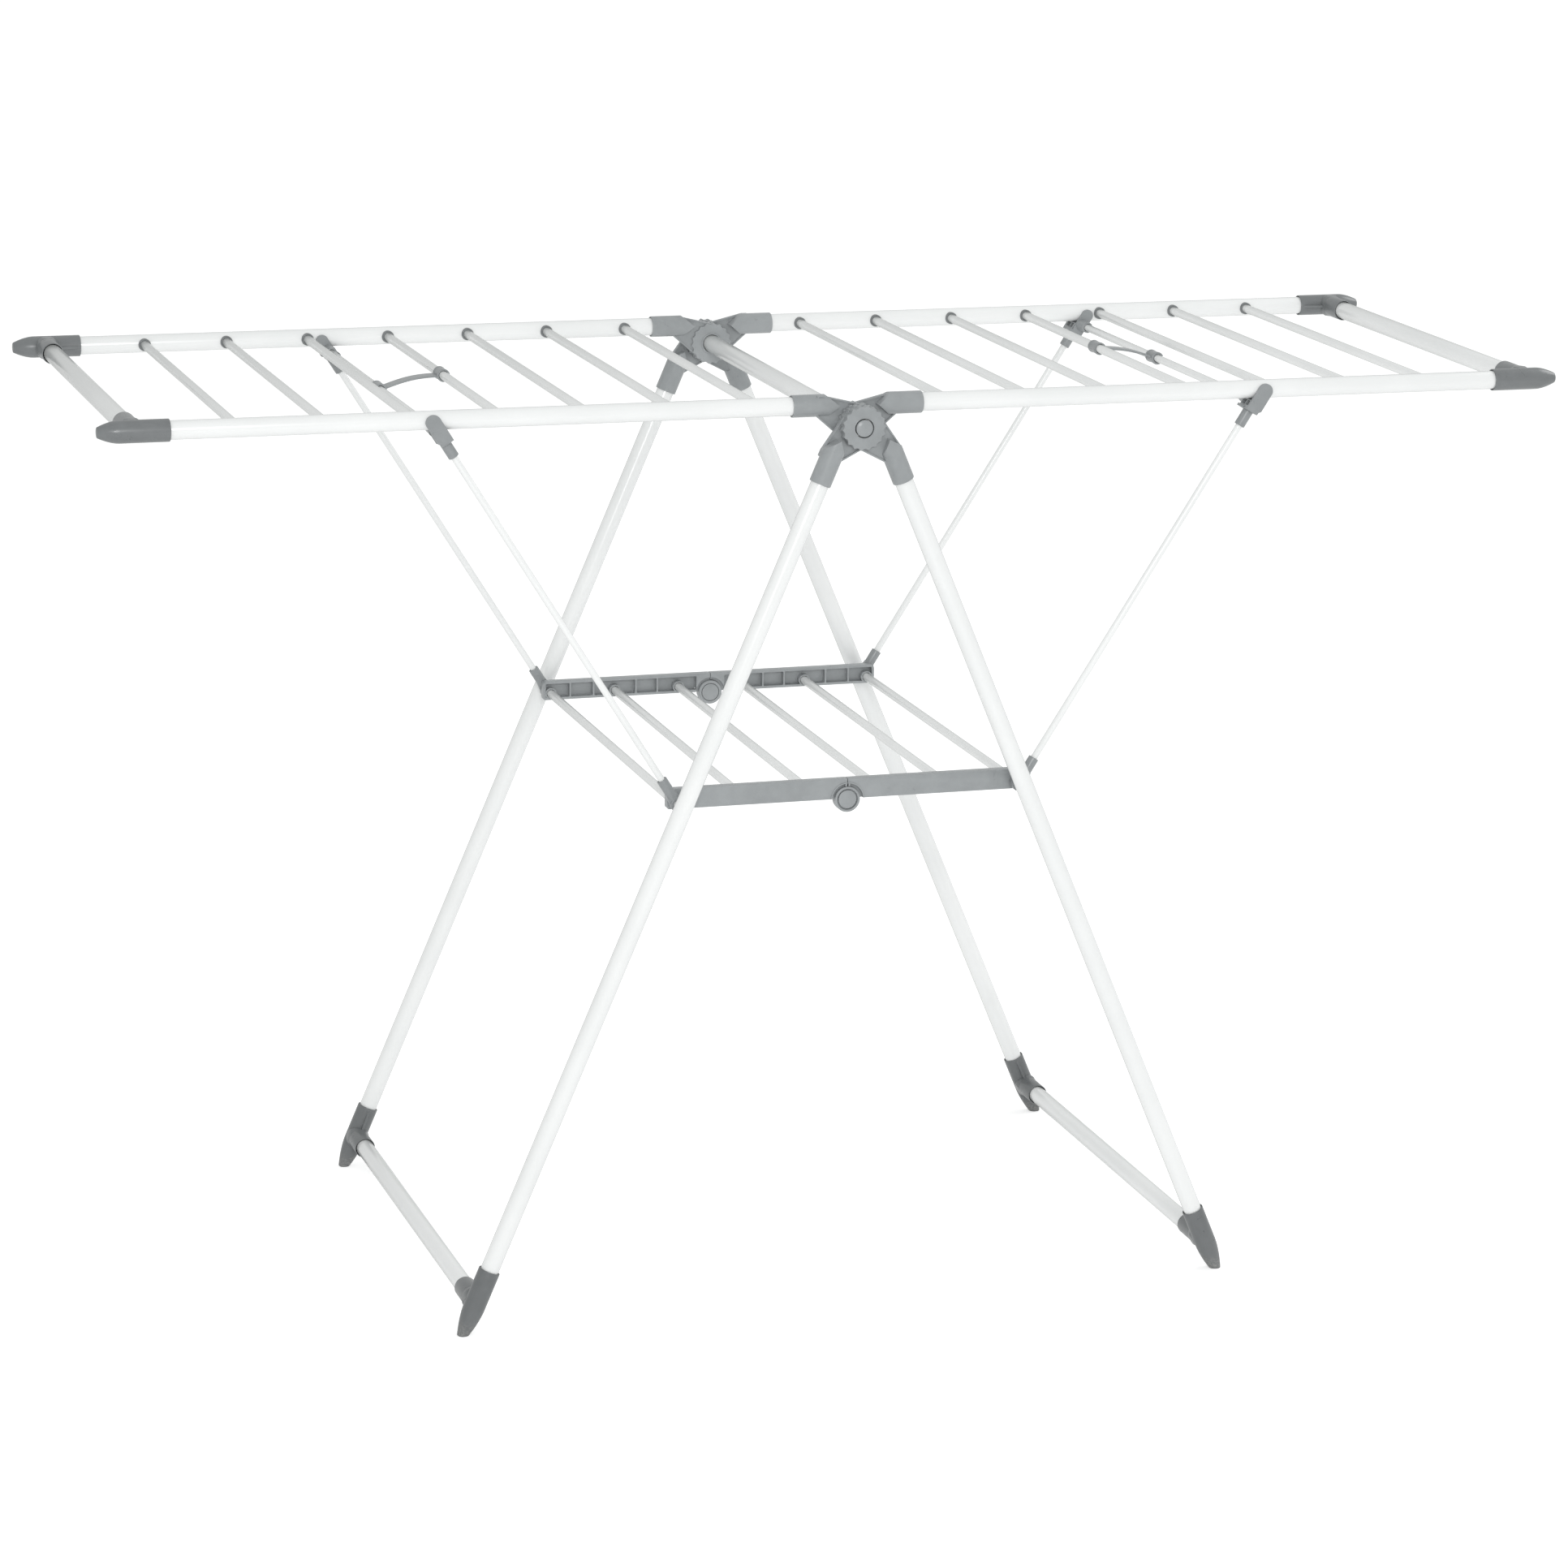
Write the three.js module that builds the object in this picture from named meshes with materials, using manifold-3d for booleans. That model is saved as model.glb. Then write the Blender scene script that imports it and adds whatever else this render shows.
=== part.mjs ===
// Folding clothes drying rack with two wings, two leg frames and a folding middle shelf.
// Millimetres, +Z up. X runs along the rack, Y runs along the rungs.
// The origin is on the floor, under the middle of the hub axle.
//
// The rack is symmetric under a half turn about Z, so the left half is built once as a function
// and used again, turned by 180 degrees, for the right half.

import * as THREE from 'three';
import { mergeVertices } from 'three/addons/utils/BufferGeometryUtils.js';
import Module from 'manifold-3d';

const wasm = await Module();
wasm.setup();

// Driving dimensions.
const hubHeight = 898; // hub axle above the floor
const legLean = 23; // each leg frame from the vertical, degrees
const tubeRadius = 9.25; // steel frame tubes
const tubeBore = 8.65;
const rungRadius = 4.5; // thin rung tubes
const rungBore = 4.1;
const strutRadius = 3.4; // steel wire struts
const crossRodRadius = 3.9;
const fit = 0.3; // gap between a pressed-in piece and its socket
const runningFit = 0.4; // gap round a pivot
// Facets round the tubes and their sockets, and round the discs.
const tubeSides = 16;
const discSides = 24;

const sleeveRadius = 11; // plastic sleeves round the tube ends
const legOffset = 18.4; // leg tube axis from the hub pivot
const wingOffset = 19.4; // wing tube axis from the hub pivot
const legTubeY = 277.5;
const wingTubeY = 255.4;
const legReach = 947; // hub pivot to foot bar, along the leg
const wingReach = 712; // hub pivot to wing end tube

const discRadius = 23.5; // hub discs
const discClearance = 24.6;
const sleeveMouth = 71; // hub sleeve's open end, from the pivot
const sleeveFull = 35; // where its pointed hub end begins
const sleeveTip = 22;
const tubeStart = 36;
// The hub discs lie side by side along the axle, the outermost first.
const hubLayers = {
  outerLeg: { disc: [275.5, 283.9], web: [275.8, 281] },
  innerLeg: { disc: [266.8, 275.2], web: [268.5, 273.5] },
  outerWing: { disc: [258.1, 266.4], web: [258.4, 262.4] },
  innerWing: { disc: [249.4, 257.7], web: [251, 255.5] },
};

const cornerMouth = 38; // corner sleeve's open end, from the cross tube's axis
const cornerSeat = 12;
const bossLength = 47; // cross tube boss, from the side tube's axis
const bossSeat = 6;
const noseTipRadius = 5;
// The nose beyond the cross tube's axis, and the length over which it narrows.
const capNose = { reach: 34, taper: 21 };
const footNose = { reach: 38, taper: 33 };

const wingRungCount = 7;
const firstWingRung = 97.4; // from the hub pivot
const wingRungPitch = 85.6;

const shelfHeight = 525.5; // shelf rungs and outer shelf pivots
const shelfRungCount = 3; // in each half
const railLow = 518.8;
const railHigh = 539;
const railInner = 240; // rail depth, along Y
const railOuter = 249.8;
const railWall = 3;
const railOverhang = 8.5; // rail beyond its outer pivot
const rungBossRadius = 6.4;
const kneeHeight = 518; // middle hinge of the shelf
const kneeLugRadius = 13;
const kneeClearance = 13.5;
const kneeSplit = 244.95; // where the two knee lugs meet, along Y
const kneePinRadius = 3.8;
const halfGap = 0.3; // from the middle plane to a rail end

const saddleReach = 426; // where a strut's axis meets the wing tube's axis, from the middle
const eyeRadius = 7.5;
const eyeInner = 250.4;
const eyeOuter = 260.4;
const pivotPinEnd = 267.9; // pivot pins stop just short of the leg tube
const lowerSocketRadius = 5.3;
const lowerSocketEnd = 30;
const upperSocketRadius = 5.4;
const upperSocketStart = 43; // below the wing tube's axis, along the strut
const seatLow = 27;
const seatHigh = 24;
const plateHalfWidth = 8.5;
const plateTop = 6.4;
const outerPlate = [265.05, 267.8];
const innerPlate = [243, 245.75];
const innerPlateTop = -9;
const seatInboard = 12;
const rodDrop = 14.2; // cross rod below the wing tube's axis, along the strut
const rodSide = -0.5;
const rodBossRadius = 5.8;
const rodBossInner = 225;

const clipRung = 4; // the wing rung that carries the clip, counted from the hub
const clipPlace = { left: 3, right: 24 }; // along the rung, from its middle towards the back
const clipHalfWidth = 10;
const clipRingRadius = 6.6;
const clipHookRadius = 6.6;
const clipThickness = 2;

const degrees = Math.PI / 180;
const legTurn = (90 - legLean) * degrees;

// Places that follow from the driving dimensions.
const sinLean = Math.sin(legLean * degrees);
const cosLean = Math.cos(legLean * degrees);
const wingTubeHeight = hubHeight + wingOffset;
const legAxisTop = { x: -legOffset * cosLean, z: hubHeight + legOffset * sinLean };
const shelfPivotX = legAxisTop.x - ((legAxisTop.z - shelfHeight) * sinLean) / cosLean;
const shelfRungPitch = (-2 * shelfPivotX) / (2 * shelfRungCount - 1);
const strutRise = wingTubeHeight - shelfHeight;
const strutRun = saddleReach + shelfPivotX;
const strutLength = Math.hypot(strutRise, strutRun);
const strutTurn = Math.atan2(strutRun, strutRise);
const wingRungReach = (number) => firstWingRung + (number - 1) * wingRungPitch;

// Materials.
const paintedSteel = () => new THREE.MeshStandardMaterial({
  color: 0xf2f3f5, roughness: 0.35, metalness: 0.1,
});
const greyPlastic = () => new THREE.MeshStandardMaterial({
  color: 0x8b9091, roughness: 0.5, metalness: 0,
});

// Solids.
function solidOf(geometry) {
  geometry.deleteAttribute('normal');
  geometry.deleteAttribute('uv');
  const merged = mergeVertices(geometry, 1e-4);
  return new wasm.Manifold(new wasm.Mesh({
    numProp: 3,
    vertProperties: new Float32Array(merged.attributes.position.array),
    triVerts: new Uint32Array(merged.index.array),
  }));
}

function geometryOf(solid) {
  const mesh = solid.getMesh();
  const geometry = new THREE.BufferGeometry();
  geometry.setAttribute('position', new THREE.BufferAttribute(mesh.vertProperties, 3));
  geometry.setIndex(new THREE.BufferAttribute(mesh.triVerts, 1));
  geometry.computeVertexNormals();
  return geometry;
}

const joined = (solids) => solids.reduce((sum, solid) => sum.add(solid));
const cut = (solid, tools) => tools.reduce((rest, tool) => rest.subtract(tool), solid);

// A round bar along Y from y = low to y = high.
function barY(radius, low, high, x = 0, z = 0, segments = 12) {
  const geometry = new THREE.CylinderGeometry(radius, radius, high - low, segments);
  geometry.translate(x, (low + high) / 2, z);
  return solidOf(geometry);
}

// A round bar along Z from z = low to z = high.
function barZ(radius, low, high, x = 0, y = 0, segments = 12) {
  const geometry = new THREE.CylinderGeometry(radius, radius, high - low, segments);
  geometry.rotateX(Math.PI / 2);
  geometry.translate(x, y, (low + high) / 2);
  return solidOf(geometry);
}

// A turned solid on the line y, z: its profile is [distance towards -X, radius].
function turnedX(profile, y, z, segments = tubeSides) {
  const points = profile.map(([reach, radius]) => new THREE.Vector2(radius, reach));
  const geometry = new THREE.LatheGeometry(points, segments);
  geometry.rotateZ(Math.PI / 2);
  geometry.translate(0, y, z);
  return solidOf(geometry);
}

const barX = (radius, near, far, y, z) => turnedX(
  [[near, 0], [near, radius], [far, radius], [far, 0]], y, z,
);

// A flat plate: an outline of [x, z] points, thick from y = low to y = high.
function plateY(outline, low, high) {
  const shape = new THREE.Shape(outline.map(([x, z]) => new THREE.Vector2(x, z)));
  const geometry = new THREE.ExtrudeGeometry(shape, { depth: high - low, bevelEnabled: false });
  geometry.rotateX(Math.PI / 2);
  geometry.translate(0, high, 0);
  return solidOf(geometry);
}

function block(lowX, highX, lowY, highY, lowZ, highZ) {
  return plateY([[lowX, lowZ], [highX, lowZ], [highX, highZ], [lowX, highZ]], lowY, highY);
}

// The same Y range on the front row (side -1) or the back row (side 1).
const onSide = (side, [inner, outer]) => (side < 0 ? [-outer, -inner] : [inner, outer]);

function part(name, solidOrGeometry, material) {
  const geometry = solidOrGeometry.isBufferGeometry ? solidOrGeometry : geometryOf(solidOrGeometry);
  const mesh = new THREE.Mesh(geometry, material);
  mesh.name = name;
  return mesh;
}

// A hollow tube along its own Y axis, centred on its middle.
function tubeGeometry(radius, bore, length, segments) {
  const half = length / 2;
  const profile = [[bore, -half], [radius, -half], [radius, half], [bore, half], [bore, -half]];
  const points = profile.map(([r, y]) => new THREE.Vector2(r, y));
  const geometry = new THREE.LatheGeometry(points, segments);
  geometry.deleteAttribute('normal');
  geometry.deleteAttribute('uv');
  return mergeVertices(geometry, 1e-4);
}

function crossTube(name, radius, bore, halfLength, x, z, segments) {
  const mesh = part(name, tubeGeometry(radius, bore, 2 * halfLength, segments), paintedSteel());
  mesh.position.set(x, 0, z);
  return mesh;
}

function sideTube(name, near, far, y, z) {
  const mesh = part(name, tubeGeometry(tubeRadius, tubeBore, far - near, tubeSides), paintedSteel());
  mesh.rotation.z = Math.PI / 2;
  mesh.position.set(-(near + far) / 2, y, z);
  return mesh;
}

// Hub moulding of one side tube. In the arm's own frame the hub pivot is at the origin and
// the arm runs along -X, with its tube axis at z = offset.
function hubMoulding(offset, tubeY, layer, side, withAxle) {
  const y = side * tubeY;
  const [discLow, discHigh] = onSide(side, layer.disc);
  const [webLow, webHigh] = onSide(side, layer.web);
  const low = offset - sleeveRadius;
  const high = offset + sleeveRadius;
  const pointed = [
    [-sleeveMouth - 1, low - 1], [-sleeveFull, low - 1], [-sleeveFull, low],
    [-sleeveTip, offset], [-sleeveFull, high], [-sleeveFull, high + 1], [-sleeveMouth - 1, high + 1],
  ];
  const sleeve = barX(sleeveRadius, sleeveTip, sleeveMouth, y, offset)
    .intersect(plateY(pointed, y - 20, y + 20))
    .subtract(barY(discClearance, y - 20, y + 20, 0, 0, discSides));
  const web = plateY([
    tangentPoint(sleeveFull + 9, low, -1), tangentPoint(sleeveFull + 3, high, 1),
    [-sleeveFull - 3, high - 0.5], [-sleeveFull - 9, high - 0.5],
    [-sleeveFull - 9, low + 0.5],
  ], webLow, webHigh);
  const disc = barY(discRadius, discLow, discHigh, 0, 0, discSides);
  const tubeSocket = barX(tubeRadius + fit, tubeStart - fit, sleeveMouth + 1, y, offset);
  const body = joined([disc, web, sleeve]).subtract(tubeSocket);
  if (!withAxle) {
    return body.subtract(barY(tubeRadius + runningFit, discLow - 1, discHigh + 1, 0, 0, tubeSides));
  }
  const axleEnd = hubLayers.outerLeg.disc[1];
  return body
    .add(barY(tubeRadius, -axleEnd, axleEnd, 0, 0, tubeSides))
    .subtract(barY(tubeBore, -axleEnd - 1, axleEnd + 1, 0, 0, tubeSides));
}

// Where the straight web edge from a sleeve's edge touches the disc.
function tangentPoint(reach, height, turn) {
  const distance = Math.hypot(reach, height);
  const angle = Math.atan2(height, reach) + turn * Math.acos((discRadius - 0.5) / distance);
  return [-(discRadius - 0.5) * Math.cos(angle), (discRadius - 0.5) * Math.sin(angle)];
}

// Corner moulding of a side tube and a cross tube, with a blunt nose: wing cap or foot.
function cornerMoulding(reach, offset, tubeY, nose, side) {
  const y = side * tubeY;
  const taper = [0.4, 0.75, 1].map((step) => [
    reach + nose.reach - nose.taper * (1 - step),
    sleeveRadius - (sleeveRadius - noseTipRadius) * step ** 1.7,
  ]);
  const profile = [
    [reach - cornerMouth, 0], [reach - cornerMouth, sleeveRadius],
    [reach + nose.reach - nose.taper, sleeveRadius], ...taper, [reach + nose.reach, 0],
  ];
  const boss = barY(
    sleeveRadius, ...onSide(side, [tubeY - bossLength, tubeY]), -reach, offset, tubeSides,
  );
  const crossSocket = barY(
    tubeRadius + fit, ...onSide(side, [tubeY - bossLength - 1, tubeY - bossSeat]), -reach, offset,
    tubeSides,
  );
  const sideSocket = barX(tubeRadius + fit, reach - cornerMouth - 1, reach - cornerSeat, y, offset);
  return cut(turnedX(profile, y, offset).add(boss), [crossSocket, sideSocket]);
}

// Everything below the floor, as seen from a leg frame.
function belowFloor() {
  const geometry = new THREE.BoxGeometry(400, 800, 100);
  geometry.translate(legAxisTop.x - legReach * sinLean, 0, -50);
  geometry.translate(0, 0, -hubHeight);
  geometry.rotateY(legTurn);
  return solidOf(geometry);
}

// One frame of two side tubes, a cross tube and four mouldings, in the arm's own frame.
function armFrame(arm) {
  const group = new THREE.Group();
  for (const [side, row] of arm.rows) {
    const where = `${row}_${arm.name}`;
    const layer = hubLayers[side < 0 ? arm.nearLayer : arm.farLayer];
    const withAxle = arm.axleSide === side;
    let corner = cornerMoulding(arm.reach, arm.offset, arm.tubeY, arm.nose, side);
    if (arm.onFloor) corner = corner.subtract(belowFloor());
    const tubeEnd = arm.reach - cornerSeat - fit;
    group.add(
      sideTube(`${arm.tube}_${where}`, tubeStart, tubeEnd, side * arm.tubeY, arm.offset),
      part(`${arm.corner}_${where}`, corner, greyPlastic()),
      part(
        withAxle ? `axle_and_${arm.hub}_${where}` : `${arm.hub}_${where}`,
        hubMoulding(arm.offset, arm.tubeY, layer, side, withAxle),
        greyPlastic(),
      ),
    );
  }
  const crossHalf = arm.tubeY - bossSeat - fit;
  group.add(
    crossTube(arm.cross, tubeRadius, tubeBore, crossHalf, -arm.reach, arm.offset, tubeSides),
  );
  return group;
}

// Two pieces of the shelf rail that lap at the knee: the outer lug carries the knee pin.
function shelfRail(side, outerLug, openPivot) {
  const y = (low, high) => onSide(side, [low, high]);
  const pivot = shelfPivotX;
  const shell = block(pivot - railOverhang, -halfGap, ...y(railInner, railOuter), railLow, railHigh);
  const channel = block(
    pivot - railOverhang + railWall, -halfGap - railWall,
    ...y(railInner - 1, railOuter - railWall), railLow + railWall, railHigh - railWall,
  );
  const rungXs = [...Array(shelfRungCount).keys()].map((n) => -(n + 0.5) * shelfRungPitch);
  const bosses = rungXs.map((x) => barY(
    rungBossRadius, ...y(railInner, railOuter - railWall + 0.5), x, shelfHeight,
  ));
  const lugRange = outerLug ? y(kneeSplit + 0.15, railOuter) : y(railInner, kneeSplit - 0.15);
  const partnerRange = outerLug ? y(railInner - 1, kneeSplit) : y(kneeSplit, railOuter + 1);
  const lug = barY(kneeLugRadius, ...lugRange, 0, kneeHeight, discSides);
  const sockets = rungXs.map((x, n) => {
    const through = n === shelfRungCount - 1 && !openPivot;
    const depth = through ? railOuter + 1 : railOuter - railWall;
    return barY(rungRadius + fit, ...y(railInner - 1, depth), x, shelfHeight);
  });
  const body = cut(joined([shell.subtract(channel), ...bosses]), sockets)
    .subtract(barY(kneeClearance, ...partnerRange, 0, kneeHeight, discSides))
    .add(lug);
  if (outerLug) return body.add(barY(kneePinRadius, ...y(railInner, railOuter), 0, kneeHeight));
  return body.subtract(barY(kneePinRadius + runningFit, ...y(railInner - 1, railOuter), 0, kneeHeight));
}

function shelfHalf(half) {
  const group = new THREE.Group();
  for (const [side, row] of half.rows) {
    const rail = shelfRail(side, side < 0, half.openPivot);
    group.add(part(`shelf_rail_${row}_${half.name}`, rail, greyPlastic()));
  }
  for (let n = 1; n <= shelfRungCount; n += 1) {
    const isPivot = n === shelfRungCount && !half.openPivot;
    const halfLength = isPivot ? pivotPinEnd : railOuter - railWall - fit;
    const x = -(n - 0.5) * shelfRungPitch;
    const name = `shelf_rung_${half.name}_${n}`;
    group.add(crossTube(name, rungRadius, rungBore, halfLength, x, shelfHeight, 10));
  }
  return group;
}

// One strut with its pivot eye below and its saddle above. In the strut's own frame the shelf
// pivot is at the origin and the strut runs up along Z.
function supportStrut(side, openPivot) {
  const y = (range) => onSide(side, range);
  const middle = side * wingTubeY;
  const seatTop = (x) => strutLength
    + (-(tubeRadius + fit) - x * Math.sin(strutTurn)) / Math.cos(strutTurn);
  const dome = [...Array(7).keys()].map((n) => {
    const angle = (n / 6) * Math.PI;
    const centre = strutLength + plateTop - plateHalfWidth;
    return [plateHalfWidth * Math.cos(angle), centre + plateHalfWidth * Math.sin(angle)];
  });
  const seatBase = strutLength - seatLow;
  const solids = [
    barY(eyeRadius, ...y([eyeInner, eyeOuter])),
    barZ(lowerSocketRadius, 4, lowerSocketEnd, 0, middle),
    barZ(strutRadius, lowerSocketEnd - 1, strutLength - upperSocketStart + 1, 0, middle, 10),
    barZ(upperSocketRadius, strutLength - upperSocketStart, strutLength - seatHigh, 0, middle),
    plateY([
      [-plateHalfWidth, seatBase], [seatInboard, seatBase],
      [seatInboard, strutLength - seatHigh], [-plateHalfWidth, strutLength - seatHigh],
    ], ...y([innerPlate[0], outerPlate[1]])),
    plateY([
      [-6, strutLength - seatHigh - 1], [10, strutLength - seatHigh - 1], [10, seatTop(10)],
      [-6, seatTop(-6)],
    ], ...y([innerPlate[1] - 0.5, outerPlate[0] + 0.5])),
    plateY([[-plateHalfWidth, seatBase], [plateHalfWidth, seatBase], ...dome], ...y(outerPlate)),
    plateY([
      [-plateHalfWidth, seatBase], [plateHalfWidth, seatBase],
      [plateHalfWidth, strutLength + innerPlateTop], [-plateHalfWidth, strutLength + innerPlateTop],
    ], ...y(innerPlate)),
    barY(rodBossRadius, ...y([rodBossInner, innerPlate[0] + 0.5]), rodSide, strutLength - rodDrop),
  ];
  const rodSocket = barY(
    crossRodRadius + fit, ...y([rodBossInner - 1, innerPlate[0]]), rodSide, strutLength - rodDrop,
  );
  const body = joined(solids).subtract(rodSocket);
  if (openPivot) return body.add(barY(rungRadius, ...y([eyeOuter - 0.5, pivotPinEnd])));
  return body.subtract(barY(rungRadius + runningFit, ...y([eyeInner - 1, eyeOuter + 1])));
}

function supportFrame(frame) {
  const group = new THREE.Group();
  group.position.set(shelfPivotX, 0, shelfHeight);
  group.rotation.y = -strutTurn;
  for (const [side, row] of frame.rows) {
    const strut = supportStrut(side, frame.openPivot);
    group.add(part(`support_strut_${row}_${frame.name}`, strut, greyPlastic()));
  }
  const rodZ = strutLength - rodDrop;
  const rodHalf = innerPlate[0] - fit;
  const rod = crossTube(
    `support_rod_${frame.name}`, crossRodRadius, crossRodRadius - 0.8, rodHalf, rodSide, rodZ, 12,
  );
  group.add(rod);
  return group;
}

// Strap clip: a ring on a wing rung, a thin arched strap and an open hook over the cross rod.
// Its frame has the rung's axis at the origin.
function strapClip(centreY) {
  const rodX = shelfPivotX + Math.cos(strutTurn) * rodSide
    - Math.sin(strutTurn) * (strutLength - rodDrop) + wingRungReach(clipRung);
  const rodZ = shelfHeight + Math.sin(strutTurn) * rodSide
    + Math.cos(strutTurn) * (strutLength - rodDrop) - wingTubeHeight;
  const low = centreY - clipHalfWidth;
  const high = centreY + clipHalfWidth;
  const ring = barY(clipRingRadius, low, high);
  const hook = barY(clipHookRadius, low, high, rodX, rodZ);
  const span = Math.hypot(rodX, rodZ);
  const drop = Math.atan2(-rodZ, -rodX);
  const arch = [...Array(9).keys()].map((n) => {
    const along = 4 + ((span - 8) * n) / 8;
    const rise = 3 * Math.sin((Math.PI * n) / 8);
    return [
      -along * Math.cos(drop) + rise * Math.sin(drop), -along * Math.sin(drop) + rise * Math.cos(drop),
    ];
  });
  const half = clipThickness / 2;
  const outline = [
    ...arch.map(([x, z]) => [x, z + half]),
    ...arch.map(([x, z]) => [x, z - half]).reverse(),
  ].reverse();
  const strap = plateY(outline, low + 1, high - 1);
  const rodGap = barY(crossRodRadius + 0.7, low - 1, high + 1, rodX, rodZ);
  const mouth = block(rodX - 12, rodX - 1.5, low - 1, high + 1, rodZ - 12, rodZ + 12);
  return cut(joined([ring, hook, strap]), [
    barY(rungRadius + runningFit, low - 1, high + 1), rodGap, mouth,
  ]);
}

// Half a rack, built as the left half. rows says which row each side belongs to.
function rackHalf(name, rows, isLeft) {
  const legs = armFrame({
    name, rows, reach: legReach, offset: legOffset, tubeY: legTubeY, nose: footNose, onFloor: true,
    tube: 'leg_tube', corner: 'foot', hub: 'leg_hub', cross: `foot_bar_${name}`,
    nearLayer: 'innerLeg', farLayer: 'outerLeg', axleSide: isLeft ? 1 : 0,
  });
  legs.position.z = hubHeight;
  legs.rotation.y = -legTurn;

  const wing = armFrame({
    name, rows, reach: wingReach, offset: wingOffset, tubeY: wingTubeY, nose: capNose,
    tube: 'wing_tube', corner: 'wing_cap', hub: 'wing_hub', cross: `wing_end_tube_${name}`,
    nearLayer: 'outerWing', farLayer: 'innerWing', axleSide: 0,
  });
  wing.position.z = hubHeight;
  const rungHalf = wingTubeY - tubeRadius - fit;
  for (let n = 1; n <= wingRungCount; n += 1) {
    const rungName = `wing_rung_${name}_${n}`;
    wing.add(crossTube(rungName, rungRadius, rungBore, rungHalf, -wingRungReach(n), wingOffset, 10));
  }
  const clip = part(`support_clip_${name}`, strapClip(isLeft ? clipPlace.left : -clipPlace.right), greyPlastic());
  clip.position.set(-wingRungReach(clipRung), 0, wingOffset);
  wing.add(clip);

  const half = new THREE.Group();
  const openPivot = !isLeft;
  half.add(legs, wing, shelfHalf({ name, rows, openPivot }), supportFrame({ name, rows, openPivot }));
  if (!isLeft) half.rotation.z = Math.PI;
  return half;
}

const group = new THREE.Group();
group.add(
  rackHalf('left', [[-1, 'front'], [1, 'back']], true),
  rackHalf('right', [[-1, 'back'], [1, 'front']], false),
);

export default group;
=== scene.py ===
import math

import bmesh
import bpy
from mathutils import Matrix, Vector


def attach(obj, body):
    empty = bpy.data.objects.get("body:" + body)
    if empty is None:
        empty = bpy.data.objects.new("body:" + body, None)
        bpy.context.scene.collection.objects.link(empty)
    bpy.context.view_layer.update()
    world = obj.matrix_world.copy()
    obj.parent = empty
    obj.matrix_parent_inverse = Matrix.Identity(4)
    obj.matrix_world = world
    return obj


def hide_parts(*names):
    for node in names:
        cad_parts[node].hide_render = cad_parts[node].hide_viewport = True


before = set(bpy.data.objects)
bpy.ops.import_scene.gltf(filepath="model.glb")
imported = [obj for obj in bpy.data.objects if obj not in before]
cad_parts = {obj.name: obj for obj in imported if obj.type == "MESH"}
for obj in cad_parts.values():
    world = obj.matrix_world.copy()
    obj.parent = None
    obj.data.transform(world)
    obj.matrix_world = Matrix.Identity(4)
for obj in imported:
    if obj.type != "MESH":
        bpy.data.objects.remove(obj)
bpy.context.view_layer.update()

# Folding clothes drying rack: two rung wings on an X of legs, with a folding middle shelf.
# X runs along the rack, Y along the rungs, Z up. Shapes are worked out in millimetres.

print("frame loaded")


class Wire:
    # one shader socket that can stand in an expression
    def __init__(self, paint, socket):
        self.paint = paint
        self.socket = socket

    def maths(self, operation, *values):
        return self.paint.node("ShaderNodeMath", {"operation": operation}, dict(enumerate(values)))

    def __add__(self, other):
        return self.maths("ADD", self, other)

    def __radd__(self, other):
        return self.maths("ADD", other, self)

    def __sub__(self, other):
        return self.maths("SUBTRACT", self, other)

    def __rsub__(self, other):
        return self.maths("SUBTRACT", other, self)

    def __mul__(self, other):
        return self.maths("MULTIPLY", self, other)

    def __rmul__(self, other):
        return self.maths("MULTIPLY", other, self)

    def __truediv__(self, other):
        return self.maths("DIVIDE", self, other)

    def __pow__(self, other):
        return self.maths("POWER", self, other)

    def between(self, low, high):
        # 0 below low, 1 above high, smooth in between
        sockets = {"Value": self, "From Min": low, "From Max": high}
        return self.paint.node("ShaderNodeMapRange", {"interpolation_type": "SMOOTHSTEP"}, sockets)


class Paint:
    # one material and the nodes it is made of
    def __init__(self, name):
        self.material = bpy.data.materials.new(name)
        self.material.use_nodes = True
        self.tree = self.material.node_tree
        self.tree.nodes.clear()
        self.shader = self.tree.nodes.new("ShaderNodeBsdfPrincipled")
        out = self.tree.nodes.new("ShaderNodeOutputMaterial")
        self.tree.links.new(self.shader.outputs[0], out.inputs["Surface"])
        self.place = self.node("ShaderNodeTexCoord", {}, {}, "Object")

    def plug(self, socket, value):
        if isinstance(value, Wire):
            self.tree.links.new(value.socket, socket)
        else:
            socket.default_value = value

    def node(self, kind, settings, sockets, output=0):
        node = self.tree.nodes.new(kind)
        for key, value in settings.items():
            if key == "stops":
                ramp = node.color_ramp
                while len(ramp.elements) < len(value):
                    ramp.elements.new(0.5)
                for element, (position, colour) in zip(ramp.elements, value):
                    element.position = position
                    element.color = colour
            else:
                setattr(node, key, value)
        for key, value in sockets.items():
            self.plug(node.inputs[key], value)
        return Wire(self, node.outputs[output])

    def noise(self, scale, detail=2.0, roughness=0.5, place=None):
        sockets = {"Vector": place or self.place, "Scale": scale, "Detail": detail, "Roughness": roughness}
        return self.node("ShaderNodeTexNoise", {}, sockets, "Fac")

    def stretched(self, x, y, z):
        return self.node("ShaderNodeMapping", {}, {"Vector": self.place, "Scale": (x, y, z)})

    def blend(self, factor, first, second):
        # colours go through Mix, which keeps them coloured
        return self.node("ShaderNodeMix", {"data_type": "RGBA"}, {0: factor, 6: first, 7: second}, 2)

    def height(self, value, strength, distance):
        return self.node("ShaderNodeBump", {},
                         {"Height": value, "Strength": strength, "Distance": distance})

    def finish(self, **sockets):
        for name, value in sockets.items():
            self.plug(self.shader.inputs[name.replace("_", " ")], value)
        return self.material


def grey(value, cool=0.0):
    return (value * (1 - cool), value, value * (1 + cool * 0.5), 1.0)


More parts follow.
